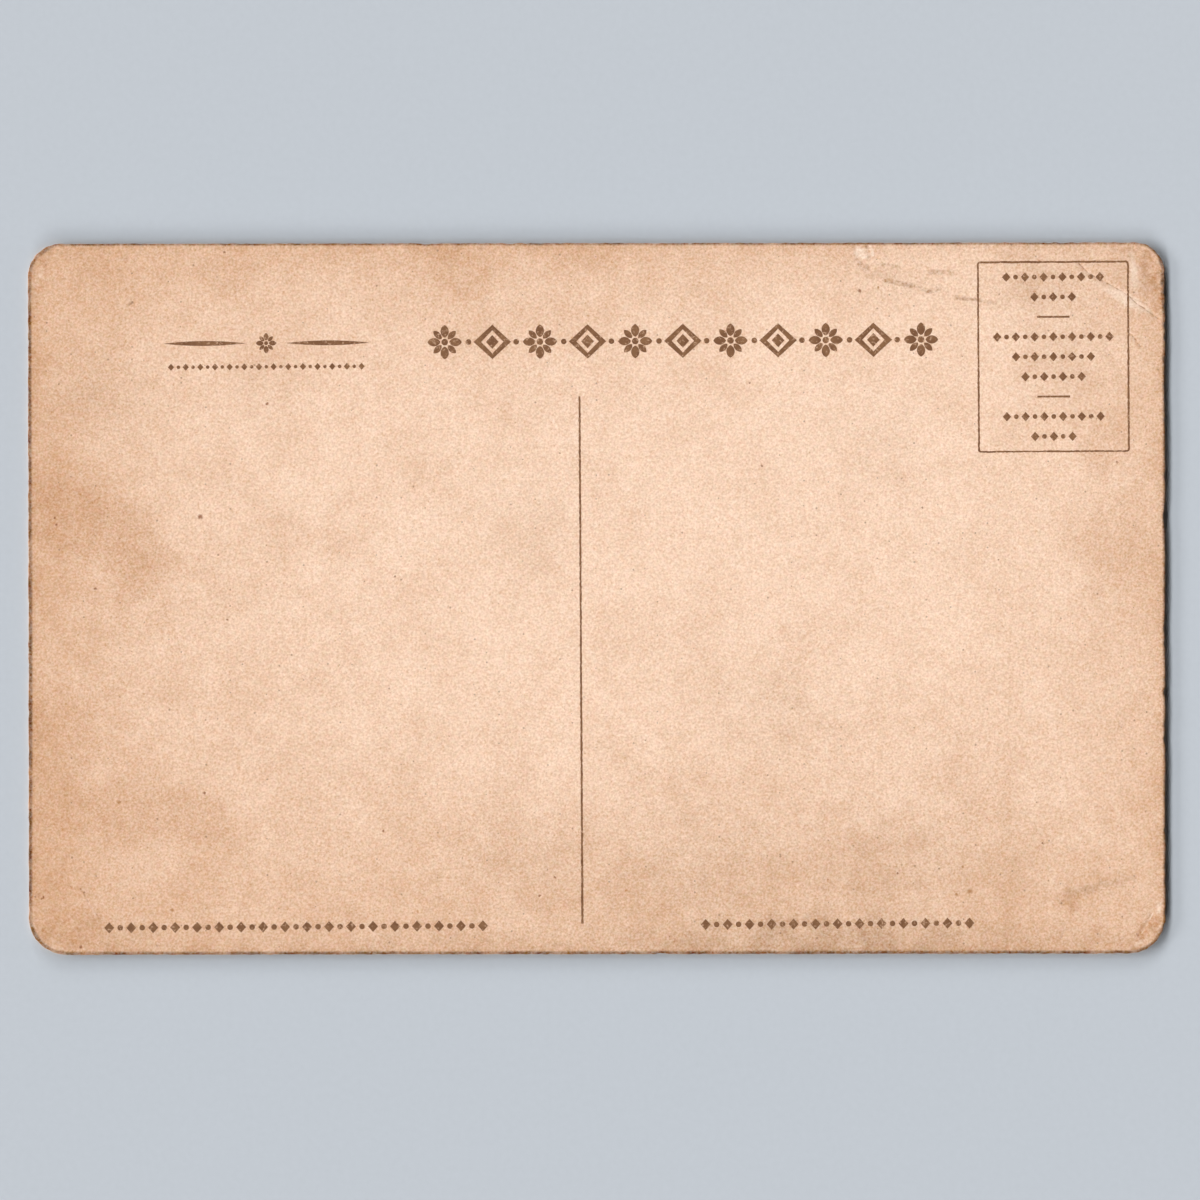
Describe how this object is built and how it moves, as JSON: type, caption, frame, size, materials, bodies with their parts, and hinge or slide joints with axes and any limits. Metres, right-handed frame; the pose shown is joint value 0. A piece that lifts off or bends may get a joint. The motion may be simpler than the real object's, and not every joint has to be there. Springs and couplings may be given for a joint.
{
  "type": "postcard",
  "caption": "Old pasted postcard with worn round corners, its address side printed with a stamp box, a divider line and ornaments, its picture side with a landscape; for writing on and posting.",
  "frame": {"origin": "middle of the picture side's face, which the card lies on", "axes": "+X along the long edge to the right as the address side is read, +Y to its top edge, +Z out of the address side"},
  "size_m": [0.1396, 0.0874, 0.0004],
  "materials": {
    "chalk_coating": "matte",
    "side_paper": "matte",
    "paste": "matte",
    "core_board": "matte",
    "brown_ink": "matte",
    "keyline_ink": "matte",
    "sky_ink": "matte",
    "far_hill_ink": "matte",
    "near_hill_ink": "matte",
    "lake_ink": "matte",
    "boat_ink": "matte",
    "bank_ink": "matte",
    "trunk_ink": "matte",
    "foliage_ink": "matte"
  },
  "bodies": {
    "root": {"picture_coating": "chalk_coating", "picture_side_paper": "side_paper", "lower_paste_layer": "paste", "core_board": "core_board", "upper_paste_layer": "paste", "address_side_paper": "side_paper", "title_ornament_ink": "brown_ink", "imprint_ornament_ink": "brown_ink", "divider_line_ink": "brown_ink", "stamp_box_frame_ink": "brown_ink", "stamp_box_ornament_ink": "brown_ink", "message_heading_ink": "brown_ink", "address_heading_ink": "brown_ink", "picture_keyline_ink": "keyline_ink", "sky_ink": "sky_ink", "far_hills_ink": "far_hill_ink", "near_hills_ink": "near_hill_ink", "lake_ink": "lake_ink", "boat_ink": "boat_ink", "bank_ink": "bank_ink", "tree_trunk_ink": "trunk_ink", "tree_foliage_ink": "foliage_ink"}
  },
  "joints": []
}
